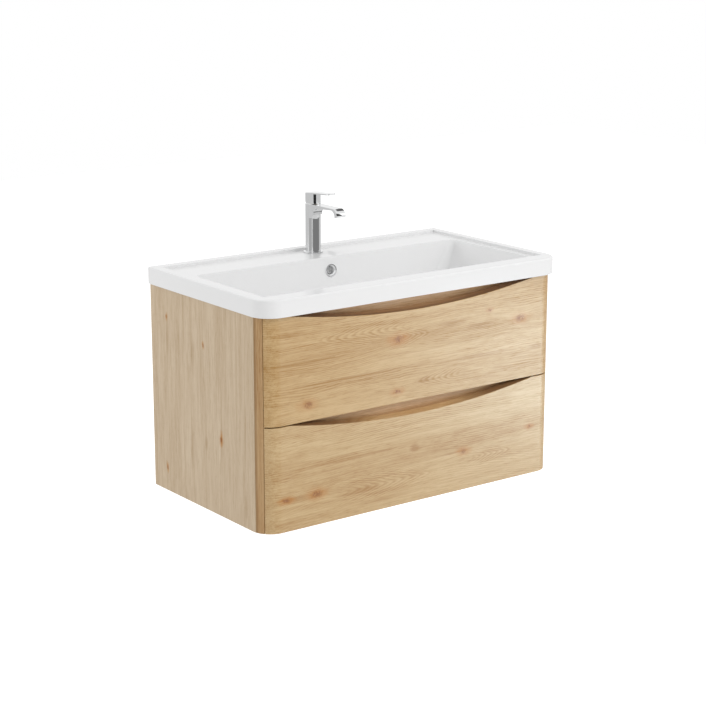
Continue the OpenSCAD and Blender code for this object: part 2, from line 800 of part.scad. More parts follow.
module spout() translate([spout_w / 2, 0, 0]) rotate([90, 0, -90]) linear_extrude(spout_w) spout_profile();

// Room in the nose for the water outlet
module water_slot(w, t, bottom, top)
    translate([-w / 2, -spout_reach + (nose_t - t) / 2, column_top - nose_r + bottom])
        cube([w, t, top - bottom]);

module tap_body() color(chrome) on_deck() difference() {
    union() {
        translate([0, 0, base_ring_h]) cylinder(r = column_r, h = column_top - base_ring_h);
        translate([0, 0, -spigot_d]) cylinder(r = spigot_r, h = spigot_d + base_ring_h + cut);
        spout();
    }
    translate([0, 0, cartridge_bottom]) cylinder(r = cartridge_r, h = cartridge_h + cut);
    translate([0, 0, cartridge_top]) cylinder(r = nut_r, h = cartridge_drop + cut);
    for (side = [-1, 1]) translate([side * inlet_gap / 2, -inlet_forward, -spigot_d - cut])
        cylinder(r = inlet_r, h = inlet_d + cut);
    translate([0, stud_offset, -spigot_d - cut]) cylinder(r = stud_r, h = spigot_d + cut);
    water_slot(slot_w, slot_t, -nose_drop - cut, slot_d);
}

module tap_base_ring() color(chrome) on_deck() ring(base_ring_r, spigot_r + fit, base_ring_h);

module tap_stud() color(zinc) on_deck()
    translate([0, stud_offset, -stud_len]) cylinder(r = stud_r - fit, h = stud_len);

module tap_clamp_washer() color(zinc) on_deck() translate([0, 0, -deck_t - clamp_t]) difference() {
    cylinder(r = clamp_r, h = clamp_t);
    block([-clamp_slot / 2, -clamp_r - cut, -cut], [clamp_slot / 2, 0, clamp_t + cut]);
    translate([0, stud_offset, -cut]) cylinder(r = stud_r + fit, h = clamp_t + 2 * cut);
}

module tap_stud_nut() color(brass) on_deck()
    translate([0, stud_offset, -deck_t - clamp_t - stud_nut_h]) hex_nut(stud_nut_r, stud_r, stud_nut_h);

module outlet_insert() color(zinc) on_deck() difference() {
    water_slot(slot_w - 2 * fit, slot_t - 2 * fit, 0, slot_d - fit);
    for (hole = [-4:4]) translate([hole * slot_w / 10, -spout_reach + nose_t / 2, column_top - nose_r - cut])
        cylinder(r = outlet_hole_r, h = slot_d / 2);
}

// Tap cartridge

module cartridge() color(board) on_deck() difference() {
    translate([0, 0, cartridge_bottom]) cylinder(r = cartridge_r - fit, h = cartridge_h);
    translate([0, 0, rotor_seat]) cylinder(r = rotor_r + rotor_play, h = cartridge_h);
}

module cartridge_nut() color(brass) on_deck()
    translate([0, 0, cartridge_top]) ring(nut_r - fit, rotor_r + nut_gap, cartridge_drop - nut_gap);

module lever_pin(r, length) translate([-length / 2, 0, pivot_h]) rotate([0, 90, 0]) cylinder(r = r, h = length);

module cartridge_rotor() color(board) on_deck() {
    difference() {
        translate([0, 0, rotor_seat + seat_gap])
            cylinder(r = rotor_r, h = column_top - handle_gap - rotor_seat - seat_gap);
        block([-stem_side / 2 - rotor_play, -rotor_slot_d / 2, pivot_h - stem_foot - slot_floor_gap],
            [stem_side / 2 + rotor_play, rotor_slot_d / 2, column_top]);
    }
    lever_pin(pin_r, 2 * rotor_r - cut);
}

module lever_stem() color(zinc) on_deck() difference() {
    translate([-stem_side / 2, -stem_side / 2, pivot_h - stem_foot])
        cube([stem_side, stem_side, socket_top - pivot_h + stem_foot]);
    lever_pin(pin_r + rotor_play, 2 * stem_side);
}

// Plan of the lever, from the tap's axis to its round-cornered end
module lever_plan() {
    side = lever_w / 2 - lever_corner_r;
    end = lever_reach - lever_corner_r;
    translate([-lever_w / 2, -end]) square([lever_w, end]);
    translate([-side, -lever_reach]) square([2 * side, lever_corner_r + cut]);
    for (turn = [-1, 1]) translate([turn * side, -end]) circle(lever_corner_r);
}

// Turns a piece onto the sloping top of the handle
module on_slope() translate([0, 0, handle_top]) rotate([-lever_slope, 0, 0]) children();

module handle() color(chrome) on_deck() difference() {
    union() {
        difference() {
            translate([0, 0, handle_bottom]) cylinder(r = column_r, h = 2 * handle_h);
            translate([0, 0, handle_bottom - cut])
                cylinder(r = column_r - handle_wall, h = socket_top - handle_bottom + cut);
            on_slope() translate([-2 * column_r, -2 * column_r, 0]) cube([4 * column_r, 4 * column_r, 2 * handle_h]);
        }
        on_slope() translate([0, 0, -lever_t]) linear_extrude(lever_t) lever_plan();
        translate([0, 0, handle_bottom + socket_rise])
            cylinder(r = stem_side / 2 + socket_wall, h = socket_top - handle_bottom);
    }
    // Relief at the back, which lets the handle tilt
    translate([0, 0, handle_bottom]) rotate([lever_lift + lift_spare, 0, 0])
        translate([-column_r - cut, 0, -handle_h]) cube([2 * (column_r + cut), 2 * column_r, handle_h]);
    translate([-stem_side / 2 - fit, -stem_side / 2 - fit, handle_bottom])
        cube([stem_side + 2 * fit, stem_side + 2 * fit, socket_top - handle_bottom]);
    translate([0, stem_side / 2, grub_z]) y_cylinder(grub_r + fit, column_r);
}

module handle_screw() color(zinc) on_deck()
    translate([0, stem_side / 2, grub_z]) y_cylinder(grub_r, column_r - stem_side / 2 - grub_sunk);

// Drawers

// Front with round ends, cut along its top by a shallow cone
module drawer_front(z) color(oak) difference() {
    lean = smile_rise / front_t;
    translate([0, 0, z]) linear_extrude(front_h) intersection() {
        round_plan(half_w, face_y, corner_r);
        translate([-front_half_w, face_y]) square([2 * front_half_w, front_t]);
    }
    translate([0, face_y - cut, z + front_h - smile_depth + smile_r]) rotate([-90, 0, 0])
        cylinder(r1 = smile_r + lean * cut, r2 = smile_r - lean * (front_t + cut), h = front_t + 2 * cut,
            $fn = smile_fn);
}

module inner_front(z, height) color(board)
    block([-box_half_w, front_back_y, z], [box_half_w, box_front_y, z + height]);

module box_side(z, height) color(board)
    block([-box_half_w, box_front_y, z], [-box_half_w + box_t, box_back_y, z + height]);

module box_base(z)
    block([-box_half_w + box_t, box_front_y, z], [box_half_w - box_t, box_back_y, z + box_base_t]);

module box_back(z, height)
    block([-box_half_w + box_t, box_back_y - box_t, z + box_base_t], [box_half_w - box_t, box_back_y, z + height]);

// Space that the waste and its trap pass through, grown by a wall
module trap_room(wall, low, high)
    block([-trap_w / 2 - wall, trap_front_y - wall, low], [trap_w / 2 + wall, box_back_y + cut, high]);

module upper_front() drawer_front(upper_front_z);
module upper_inner_front() inner_front(upper_box_z, upper_box_h);
module upper_side_left() box_side(upper_box_z, upper_box_h);
module upper_side_right() color(board) right_hand() box_side(upper_box_z, upper_box_h);

module upper_back() color(board) difference() {
    box_back(upper_box_z, upper_box_h);
    trap_room(trap_wall_t, upper_box_z, upper_box_z + upper_box_h + cut);
}

module upper_base() color(board) difference() {
    box_base(upper_box_z);
    trap_room(0, upper_box_z - cut, upper_box_z + box_base_t + cut);
}

module trap_surround() color(board) difference() {
    block([-trap_w / 2 - trap_wall_t, trap_front_y - trap_wall_t, upper_box_z + box_base_t],
        [trap_w / 2 + trap_wall_t, box_back_y, upper_box_z + upper_box_h]);
    trap_room(0, upper_box_z, upper_box_z + upper_box_h + cut);
}

module lower_front() drawer_front(lower_front_z);
module lower_inner_front() inner_front(lower_box_z, lower_box_h);
module lower_side_left() box_side(lower_box_z, lower_box_h);
module lower_side_right() color(board) right_hand() box_side(lower_box_z, lower_box_h);
module lower_back() color(board) box_back(lower_box_z, lower_box_h);
module lower_base() color(board) box_base(lower_box_z);

// Runners: a section across the runner, from the side panel at X = 0 to the drawer box

middle_x = runner_steel + web_gap;
outer_strip = [middle_x + outer_strip_r + web_gap, runner_h / 2 - runner_steel - runner_play - outer_strip_r];
middle_half_h = outer_strip[1] - outer_strip_r + strip_weld;
inner_strip = [outer_strip[0] + strip_step, middle_half_h - runner_steel - runner_play - inner_strip_r];
moving_half_h = inner_strip[1] - inner_strip_r + strip_weld;

module both_edges() for (side = [0, 1]) mirror([0, side]) children();

module fixed_section() {
    lip_x = outer_strip[0] + outer_strip_r + runner_play;
    translate([0, -runner_h / 2]) square([runner_steel, runner_h]);
    both_edges() {
        translate([0, runner_h / 2 - runner_steel]) square([lip_x + runner_steel, runner_steel]);
        translate([lip_x, outer_strip[1]]) square([runner_steel, runner_h / 2 - outer_strip[1]]);
    }
}

module middle_section() {
    lip_x = inner_strip[0] + inner_strip_r + runner_play;
    translate([middle_x, -middle_half_h]) square([runner_steel, 2 * middle_half_h]);
    both_edges() {
        translate([middle_x, middle_half_h - runner_steel]) square([lip_x + runner_steel - middle_x, runner_steel]);
        translate([lip_x, inner_strip[1]]) square([runner_steel, middle_half_h - inner_strip[1]]);
        translate(outer_strip) circle(outer_strip_r);
    }
}

module moving_section() {
    translate([runner_t - runner_steel, -moving_half_h]) square([runner_steel, 2 * moving_half_h]);
    both_edges() {
        translate([inner_strip[0] - inner_strip_r, moving_half_h - runner_steel])
            square([runner_t - inner_strip[0] + inner_strip_r, runner_steel]);
        translate(inner_strip) circle(inner_strip_r);
    }
}

module runner(z) color(zinc) translate([-inner_half_w, -runner_back_gap, z]) rotate([90, 0, 0])
    linear_extrude(runner_len) children();

upper_runner_z = upper_box_z + upper_box_h / 2;
lower_runner_z = lower_box_z + lower_box_h / 2;

module upper_runner_left_fixed() runner(upper_runner_z) fixed_section();
module upper_runner_left_middle() runner(upper_runner_z) middle_section();
module upper_runner_left_moving() runner(upper_runner_z) moving_section();
module upper_runner_right_fixed() right_hand() upper_runner_left_fixed();
module upper_runner_right_middle() right_hand() upper_runner_left_middle();
module upper_runner_right_moving() right_hand() upper_runner_left_moving();
module lower_runner_left_fixed() runner(lower_runner_z) fixed_section();
module lower_runner_left_middle() runner(lower_runner_z) middle_section();
module lower_runner_left_moving() runner(lower_runner_z) moving_section();
module lower_runner_right_fixed() right_hand() lower_runner_left_fixed();
module lower_runner_right_middle() right_hand() lower_runner_left_middle();
module lower_runner_right_moving() right_hand() lower_runner_left_moving();

side_panel_left();
side_panel_right();
corner_post_left();
corner_post_right();
bottom_panel();
rear_top_rail();
rear_bottom_rail();
front_top_rail();
middle_rail();
bumpers();
wall_plate_left();
wall_plate_right();
hanger_left();
hanger_right();
hanger_covers();
basin();
overflow_ring();
waste_body();
waste_seal();
waste_nut();
click_barrel();
waste_plug();
tap_body();
tap_base_ring();
tap_stud();
tap_clamp_washer();
tap_stud_nut();
outlet_insert();
cartridge();
cartridge_nut();
cartridge_rotor();
lever_stem();
handle();
handle_screw();
upper_front();
upper_inner_front();
upper_side_left();
upper_side_right();
upper_back();
upper_base();
trap_surround();
lower_front();
lower_inner_front();
lower_side_left();
lower_side_right();
lower_back();
lower_base();
upper_runner_left_fixed();
upper_runner_left_middle();
upper_runner_left_moving();
upper_runner_right_fixed();
upper_runner_right_middle();
upper_runner_right_moving();
lower_runner_left_fixed();
lower_runner_left_middle();
lower_runner_left_moving();
lower_runner_right_fixed();
lower_runner_right_middle();
lower_runner_right_moving();
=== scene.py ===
import bpy
import json
import math
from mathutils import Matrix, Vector


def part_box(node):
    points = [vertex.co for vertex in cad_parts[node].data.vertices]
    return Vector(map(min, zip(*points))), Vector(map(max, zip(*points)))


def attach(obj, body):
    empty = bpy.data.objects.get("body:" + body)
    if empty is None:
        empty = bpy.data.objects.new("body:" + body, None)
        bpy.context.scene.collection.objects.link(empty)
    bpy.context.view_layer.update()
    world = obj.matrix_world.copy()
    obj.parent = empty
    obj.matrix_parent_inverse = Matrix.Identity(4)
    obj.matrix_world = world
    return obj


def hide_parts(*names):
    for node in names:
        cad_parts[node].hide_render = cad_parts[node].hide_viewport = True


with open("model.json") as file:
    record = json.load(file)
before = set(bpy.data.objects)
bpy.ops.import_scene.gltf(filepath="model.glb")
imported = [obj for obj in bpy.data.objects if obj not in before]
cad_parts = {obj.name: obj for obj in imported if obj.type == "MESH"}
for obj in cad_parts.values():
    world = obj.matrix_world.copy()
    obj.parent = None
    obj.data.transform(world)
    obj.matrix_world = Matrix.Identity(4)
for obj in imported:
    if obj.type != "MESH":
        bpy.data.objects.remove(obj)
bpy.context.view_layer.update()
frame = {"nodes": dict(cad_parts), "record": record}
print("frame loaded:", len(frame["nodes"]), "nodes")

scene = bpy.context.scene
scene.view_settings.view_transform = "Standard"


# Short hand for shader nodes

class Board:
    # Places and joins the nodes of one tree
    def __init__(self, tree):
        self.tree = tree

    def put(self, kind, values=None, **settings):
        node = self.tree.nodes.new(kind)
        for name, value in settings.items():
            setattr(node, name, value)
        for socket, value in (values or {}).items():
            if isinstance(value, bpy.types.NodeSocket):
                self.tree.links.new(value, node.inputs[socket])
            else:
                node.inputs[socket].default_value = value
        return node

    def join(self, source, target):
        self.tree.links.new(source, target)

    def math(self, operation, first, second=0.0, clamp=False):
        node = self.put("ShaderNodeMath", {0: first, 1: second}, operation=operation, use_clamp=clamp)
        return node.outputs[0]

    def plus(self, first, second):
        return self.math("ADD", first, second)

    def minus(self, first, second):
        return self.math("SUBTRACT", first, second)

    def times(self, first, second):
        return self.math("MULTIPLY", first, second)

    def over(self, first, second):
        return self.math("DIVIDE", first, second)

    def squares(self, first, second):
        return self.plus(self.times(first, first), self.times(second, second))

    def length(self, first, second):
        return self.math("SQRT", self.squares(first, second))

    def gathered(self, operation, parts):
        # One value out of several, or None
        total = None
        for part in parts:
            total = self.math(operation, part, total) if total else part
        return total

    def centred(self, value, amount):
        # Noise lies round a half, and this puts it round zero
        return self.times(self.minus(value, 0.5), amount)

    def vector(self, operation, first, second):
        return self.put("ShaderNodeVectorMath", {0: first, 1: second}, operation=operation).outputs[0]

    def axes(self, vector):
        return self.put("ShaderNodeSeparateXYZ", {0: vector}).outputs

    def mix(self, share, first, second):
        # 6, 7 and 2 are the colour sockets of this node
        return self.put("ShaderNodeMix", {0: share, 6: first, 7: second}, data_type="RGBA").outputs[2]

    def ramp(self, value, low, high):
        node = self.put("ShaderNodeMapRange", {"Value": value, "From Min": low, "From Max": high},
                        interpolation_type="SMOOTHSTEP")
        return node.outputs["Result"]

    def noise(self, vector, scale, detail=2.0, roughness=0.5):
        node = self.put("ShaderNodeTexNoise", {"Vector": vector, "Scale": scale, "Detail": detail,
                                               "Roughness": roughness})
        return node.outputs["Fac"]


def opaque(colour):
    return (*colour, 1)


def newMaterial(name, shown=(0.8, 0.8, 0.8)):
    # The colour given here is only the one that the viewport shows
    material = bpy.data.materials.new(name)
    material.use_nodes = True
    material.diffuse_color = opaque(shown)
    return material, Board(material.node_tree), material.node_tree.nodes["Principled BSDF"].inputs


def addBump(board, sockets, height, strength, depth):
    bump = board.put("ShaderNodeBump", {"Height": height, "Strength": strength, "Distance": depth})
    board.join(bump.outputs["Normal"], sockets["Normal"])


# Camera, lamps and surroundings

studio = {
    "cameraPlace": (-2.685, -3.859, 1.0069),
    "cameraPitch": -14.092,
    "cameraTurn": -36.525,
    "sensorWidth": 36,
    "lens": 94.31,
    "sheenColour": (0.82, 1.0, 1.08),
    "worldLevel": 0.768,
    "floorDrop": 0.738,      # the basin's rim is 850 mm above the floor
    "floorSize": 14,
    "floorMiddle": -0.5,
    "floorShade": (0.86, 0.86, 0.86),
    "floorRoughness": 0.9,
    "floorGlow": 0.55,
}

# name, place, aimed at, width, height, watts, and what it lights: both, matte or gloss
lamps = [
    ("frontSoftbox", (1.2, -4.1, 2.7), (0.0, -0.5, 0.0), 1.9, 1.5, 61, "matte"),
    ("rightSoftbox", (2.1, -1.9, 1.15), (0.45, -0.5, -0.15), 1.3, 1.6, 4, "both"),
    ("leftBackSoftbox", (-2.4, 1.9, 0.80), (-0.45, -0.25, -0.15), 2.0, 1.2, 20, "matte"),
    ("rightSheen", (1.28, -1.37, -0.46), (0.45, -0.49, -0.31), 0.68, 0.36, 11.2, "gloss"),
]

# Dark cards beside the chrome, which only mirror rays see: name, centre, width, height,
# turn about the upright, shade, how far off it is seen, and whether from its back
cards = [
    ("columnCard", (0.0055, -0.100, 0.1493), 0.069, 0.0855, 0, 0.24, 0.055, True),
    ("handleCard", (-0.011, -0.113, 0.2435), 0.032, 0.027, -12, 0.03, 0.060, True),
    ("frontCard", (0.000, -0.215, 0.248), 0.050, 0.050, 0, 0.08, 0.080, True),
    ("noseCard", (0.045, -0.150, 0.282), 0.062, 0.040, 90, 0.14, 0.092, True),
    ("leftEdgeCard", (-0.045, -0.0815, 0.1493), 0.031, 0.0855, 90, 0.49, 0.055, False),
    ("rightEdgeCard", (0.045, -0.083, 0.1493), 0.036, 0.0855, 90, 0.68, 0.055, True),
    ("ringCard", (0.023, -0.174, 0.083), 0.032, 0.028, 35, 0.25, 0.070, True),
]


def placeCamera():
    cameraData = bpy.data.cameras.new("photoCamera")
    cameraData.sensor_width = studio["sensorWidth"]
    cameraData.lens = studio["lens"]
    camera = bpy.data.objects.new("photoCamera", cameraData)
    camera.location = studio["cameraPlace"]
    camera.rotation_euler = (math.radians(90 + studio["cameraPitch"]), 0, math.radians(studio["cameraTurn"]))
    scene.collection.objects.link(camera)
    scene.camera = camera


def placeLamp(name, place, target, width, height, watts, lights):
    lampData = bpy.data.lights.new(name, "AREA")
    lampData.shape = "RECTANGLE"
    lampData.size = width
    lampData.size_y = height
    lampData.energy = watts
    if lights == "gloss":
        lampData.color = studio["sheenColour"]
    lamp = bpy.data.objects.new(name, lampData)
    lamp.location = place
    lamp.rotation_euler = (Vector(target) - Vector(place)).to_track_quat("-Z", "Y").to_euler()
    lamp.visible_camera = False
    lamp.visible_diffuse = lights != "gloss"
    lamp.visible_glossy = lights != "matte"
    scene.collection.objects.link(lamp)


def placeCard(name, place, width, height, turn, shade, reach, fromBack):
    bpy.ops.object.select_all(action="DESELECT")
    upright = (math.radians(90), 0, math.radians(turn))
    bpy.ops.mesh.primitive_plane_add(size=1, location=place, rotation=upright)
    card = bpy.context.object
    card.name = name
    card.scale = (width, height, 1)
    bpy.ops.object.transform_apply(location=True, rotation=True, scale=True)
    # Only surfaces near the card, and on one side of it, mirror it
    paint, board, sockets = newMaterial(name + "Paint")
    near = board.math("LESS_THAN", board.put("ShaderNodeLightPath").outputs["Ray Length"], reach)
    backFacing = board.put("ShaderNodeNewGeometry").outputs["Backfacing"]
    onSide = backFacing if fromBack else board.minus(1.0, backFacing)
    board.join(board.times(near, onSide), sockets["Alpha"])
    sockets["Base Color"].default_value = opaque((0, 0, 0))
    sockets["Specular IOR Level"].default_value = 0.0
    sockets["Emission Color"].default_value = opaque((1, 1, 1))
    sockets["Emission Strength"].default_value = shade
    card.data.materials.append(paint)
    card.visible_camera = False
    card.visible_diffuse = False
    card.visible_transmission = False
    card.visible_shadow = False


def buildWorld():
    # It lights softly, and camera and mirror rays see it white
    world = bpy.data.worlds.new("whiteStudio")
    world.use_nodes = True
    scene.world = world
    board = Board(world.node_tree)
    rays = board.put("ShaderNodeLightPath").outputs
    mirrored = board.math("MAXIMUM", rays["Is Glossy Ray"], rays["Is Transmission Ray"])
    seen = board.math("ADD", rays["Is Camera Ray"], mirrored, clamp=True)
    level = board.put("ShaderNodeMapRange", {"Value": seen, "To Min": studio["worldLevel"], "To Max": 1.0})
    background = world.node_tree.nodes["Background"].inputs
    background["Color"].default_value = opaque((1, 1, 1))
    board.join(level.outputs["Result"], background["Strength"])


def buildFloor():
    # Pale, and brighter for the camera, so that it runs into the white behind
    bpy.ops.object.select_all(action="DESELECT")
    middle = (0, studio["floorMiddle"], -studio["floorDrop"])
    bpy.ops.mesh.primitive_plane_add(size=studio["floorSize"], location=middle)
    floor = bpy.context.object
    floor.name = "floor"
    paint, board, sockets = newMaterial("floorPaint")
    sockets["Base Color"].default_value = opaque(studio["floorShade"])
    sockets["Roughness"].default_value = studio["floorRoughness"]
    sockets["Emission Color"].default_value = opaque((1, 1, 1))
    cameraRay = board.put("ShaderNodeLightPath").outputs["Is Camera Ray"]
    board.join(board.times(cameraRay, studio["floorGlow"]), sockets["Emission Strength"])
    floor.data.materials.append(paint)


placeCamera()
for lampRow in lamps:
    placeLamp(*lampRow)
for cardRow in cards:
    placeCard(*cardRow)
buildWorld()
buildFloor()
print("studio built")


# Node groups

def newGroup(name, inputs, outputs):
    # An input without a value is a vector, and a socket named Color is a colour
    group = bpy.data.node_groups.new(name, "ShaderNodeTree")
    for label, value in inputs.items():
        kind = "Vector" if value is None else "Color" if label == "Color" else "Float"
        socket = group.interface.new_socket(label, in_out="INPUT", socket_type="NodeSocket" + kind)
        if value is not None:
            socket.default_value = value
    for label in outputs:
        kind = "Color" if label == "Color" else "Float"
        group.interface.new_socket(label, in_out="OUTPUT", socket_type="NodeSocket" + kind)
    given = group.nodes.new("NodeGroupInput").outputs
    result = group.nodes.new("NodeGroupOutput").inputs
    return group, Board(group), given, result


knotForm = {
    "wobbleScale": 55.0,
    "wobble": (0.022, 0.009, 0.0),
    "swirlLength": 0.30,     # these three draw the forms out along the grain, the more the smaller they are
    "spotLength": 0.62,
    "haloLength": 0.48,
    "spotEdge": (0.95, 0.15),
    "haloEdge": (1.75, 0.15),
}


def buildKnotGroup():
    # One knot, with X along the grain: how far it bends the grain, its dark spot and the halo round it
    group, board, given, result = newGroup("knot", {"Vector": None, "Place": None, "Size": 0.01, "Bend": 1.0},
                                           ("Shift", "Spot", "Halo"))
    ragged = board.put("ShaderNodeTexNoise", {"Vector": given["Vector"], "Scale": knotForm["wobbleScale"],
                                              "Detail": 2.0})
    wobble = board.vector("ADD", ragged.outputs["Color"], (-0.5, -0.5, -0.5))
    wobbled = board.put("ShaderNodeVectorMath", {0: wobble, 1: knotForm["wobble"], 2: given["Vector"]},
                        operation="MULTIPLY_ADD").outputs[0]
    apart = board.axes(board.vector("SUBTRACT", wobbled, given["Place"]))
    along = board.over(apart["X"], given["Size"])
    across = board.over(apart["Y"], given["Size"])
    reach = board.squares(board.times(along, knotForm["swirlLength"]), across)
    fade = board.over(1.0, board.plus(reach, 1.0))
    push = board.times(board.times(fade, across), given["Size"])
    board.join(board.times(push, given["Bend"]), result["Shift"])
    fromSpot = board.length(board.times(along, knotForm["spotLength"]), across)
    board.join(board.ramp(fromSpot, *knotForm["spotEdge"]), result["Spot"])
    fromHalo = board.length(board.times(along, knotForm["haloLength"]), across)
    board.join(board.ramp(fromHalo, *knotForm["haloEdge"]), result["Halo"])
    return group


streakForm = {
    "wanderScale": (7.0, 90.0, 90.0),
    "wander": 1.5,
    "edge": (1.15, 0.1),
}


def buildStreakGroup():
    # A long soft mark in the grain, with X along it
    group, board, given, result = newGroup("streak", {"Vector": None, "Place": None, "Length": 0.1,
                                                      "Width": 0.01, "Share": 0.5}, ("Mark",))
    offset = board.vector("SUBTRACT", given["Vector"], given["Place"])
    apart = board.axes(offset)
    stretched = board.vector("MULTIPLY", offset, streakForm["wanderScale"])
    wander = board.centred(board.noise(stretched, 1.0), streakForm["wander"])
    along = board.over(apart["X"], given["Length"])
    across = board.plus(board.over(apart["Y"], given["Width"]), wander)
    mark = board.ramp(board.length(along, across), *streakForm["edge"])
    board.join(board.times(mark, given["Share"]), result["Mark"])
    return group


archForm = {
    "wanderScale": (16.0, 42.0, 42.0),
    "wander": 0.010,
    "blunt": 0.00003,        # rounds the tips off
    "lineRise": (0.1, 0.62),
    "lineFall": (1.0, 0.72),
    "endFade": (1.0, 0.55),
    "sideFade": (1.0, 0.6),
    "tipFade": (-0.03, 0.0005),
}


def buildArchGroup():
    # Nested pointed arches round an apex, which open towards plus or minus X
    group, board, given, result = newGroup("arch", {"Vector": None, "Place": None, "Sense": 1.0, "Slope": 0.1,
                                                    "Length": 0.2, "Width": 0.03, "Pitch": 0.0046},
                                           ("Line", "Share"))
    offset = board.vector("SUBTRACT", given["Vector"], given["Place"])
    apart = board.axes(offset)
    stretched = board.vector("MULTIPLY", offset, archForm["wanderScale"])
    side = board.plus(apart["Y"], board.centred(board.noise(stretched, 1.0), archForm["wander"]))
    inward = board.times(apart["X"], given["Sense"])
    blunted = board.math("SQRT", board.plus(board.times(side, side), archForm["blunt"]))
    depth = board.minus(board.times(inward, given["Slope"]), blunted)
    turn = board.math("FRACT", board.over(depth, given["Pitch"]))
    line = board.times(board.ramp(turn, *archForm["lineRise"]), board.ramp(turn, *archForm["lineFall"]))
    board.join(line, result["Line"])
    far = board.over(inward, given["Length"])
    wide = board.over(board.math("ABSOLUTE", side), given["Width"])
    share = board.times(board.ramp(far, *archForm["endFade"]), board.ramp(wide, *archForm["sideFade"]))
    tipStart, tipEnd = archForm["tipFade"]
    tip = board.ramp(depth, board.times(given["Slope"], tipStart), tipEnd)
    board.join(board.times(share, tip), result["Share"])
    return group


# A noise's row holds its scale along and across the grain, detail, roughness and how much it counts
oakForm = {
    "slowWander": (3.2, 13.0, 2.0, 0.5, 0.030),
    "quickWander": (34.0, 60.0, 1.0, 0.5, 0.0035),
    "broadBands": (0.9, 15.0, 3.0, 0.55, 0.95),
    "narrowBands": (2.6, 78.0, 3.0, 0.6, 0.80),
    "fineStreaks": (11.0, 280.0, 3.0, 0.7, 1.40),
    "curl": (30.0, 75.0, 2.0, 0.6, 0.55),
    "curlPatches": (2.2, 16.0, 1.7, 1.0),    # scale along, across and on both, and detail
    "curlPatchEdge": (0.44, 0.62),
    "ringsPerMetre": 210.0,
    "ringRise": (0.2, 0.8),
    "ringFall": (1.0, 0.86),
    "ringPatches": (3.0, 22.0),
    "ringPatchEdge": (0.42, 0.66),
    "ringFloor": 0.25,       # what is left of the rings between their patches
    "archWeight": 0.95,
    "poreScale": (48.0, 760.0),
    "poreEdge": (0.60, 0.72),
    "poreInLines": 0.10,
    "lineTone": 0.34,
    "poreTone": 0.30,
    "middleTone": 0.27,
    "streakHeight": 0.3,
    "roughness": 0.42,
    "roughnessInTone": 0.10,
}


def buildOakGroup():
    # Oak with X along the grain: bands, growth lines, fine streaks and pores
    group, board, given, result = newGroup("oakFigure", {"Vector": None, "Shift": 0.0, "Seed": None,
                                                         "Heart": None, "Tilt": 0.15, "Arch": 0.0,
                                                         "Arch Share": 0.0, "Strength": 1.0},
                                           ("Tone", "Height", "Roughness"))
    bent = board.put("ShaderNodeCombineXYZ", {"Y": given["Shift"]}).outputs[0]
    moved = board.vector("ADD", given["Vector"], bent)
    seeded = board.vector("ADD", moved, given["Seed"])

    def grainNoise(along, across, scale=1.0, detail=2.0, roughness=0.5):
        stretched = board.vector("MULTIPLY", seeded, (along, across, across))
        return board.noise(stretched, scale, detail, roughness)

    def band(name):
        along, across, detail, roughness, amount = oakForm[name]
        return board.centred(grainNoise(along, across, 1.0, detail, roughness), amount)

    # Growth rings round a far heart, with a slow wander, so that the lines run nearly straight
    apart = board.axes(board.vector("SUBTRACT", moved, given["Heart"]))
    side = board.plus(apart["Y"], board.plus(band("slowWander"), band("quickWander")))
    ring = board.length(side, board.times(apart["X"], given["Tilt"]))
    turn = board.math("FRACT", board.times(ring, oakForm["ringsPerMetre"]))
    lines = board.times(board.ramp(turn, *oakForm["ringRise"]), board.ramp(turn, *oakForm["ringFall"]))
    patch = board.ramp(grainNoise(*oakForm["ringPatches"]), *oakForm["ringPatchEdge"])
    floorShare = oakForm["ringFloor"]
    lines = board.times(lines, board.plus(floorShare, board.times(patch, 1.0 - floorShare)))
    # Inside an arch its own lines take over
    lines = board.plus(board.times(lines, board.minus(1.0, given["Arch Share"])),
                       board.times(given["Arch"], oakForm["archWeight"]))
    # Bands, fine streaks, a cloudy curl in patches, and pores
    streaks = band("fineStreaks")
    curlPatch = board.ramp(grainNoise(*oakForm["curlPatches"]), *oakForm["curlPatchEdge"])
    curl = board.times(band("curl"), curlPatch)
    fleck = grainNoise(*oakForm["poreScale"], detail=1.0)
    pores = board.ramp(board.plus(fleck, board.times(lines, oakForm["poreInLines"])), *oakForm["poreEdge"])
    tone = board.plus(board.plus(band("broadBands"), band("narrowBands")), board.plus(streaks, curl))
    tone = board.plus(tone, board.times(lines, oakForm["lineTone"]))
    tone = board.plus(tone, board.times(pores, oakForm["poreTone"]))
    tone = board.math("ADD", board.times(tone, given["Strength"]), oakForm["middleTone"], clamp=True)
    board.join(tone, result["Tone"])
    board.join(board.minus(board.times(streaks, oakForm["streakHeight"]), pores), result["Height"])
    rough = board.plus(oakForm["roughness"], board.times(tone, oakForm["roughnessInTone"]))
    board.join(rough, result["Roughness"])
    return group


mottleForm = {"slowDetail": 3.0, "fineDetail": 2.0, "fineness": 40.0}


def buildMottleGroup():
    # Slow change of shade and fine unevenness for plain finishes
    group, board, given, result = newGroup("mottle", {"Color": (0.8, 0.8, 0.8, 1), "Scale": 12.0,
                                                      "Amount": 0.04, "Roughness": 0.3, "Spread": 0.05},
                                           ("Color", "Roughness", "Height"))
    place = board.put("ShaderNodeTexCoord").outputs["Object"]
    slow = board.noise(place, given["Scale"], mottleForm["slowDetail"])
    fine = board.noise(place, board.times(given["Scale"], mottleForm["fineness"]), mottleForm["fineDetail"])
    value = board.plus(1.0, board.centred(slow, given["Amount"]))
    shade = board.put("ShaderNodeHueSaturation", {"Color": given["Color"], "Value": value})
    board.join(shade.outputs[0], result["Color"])
    rough = board.math("ADD", given["Roughness"], board.centred(fine, given["Spread"]), clamp=True)
    board.join(rough, result["Roughness"])
    board.join(fine, result["Height"])
    return group


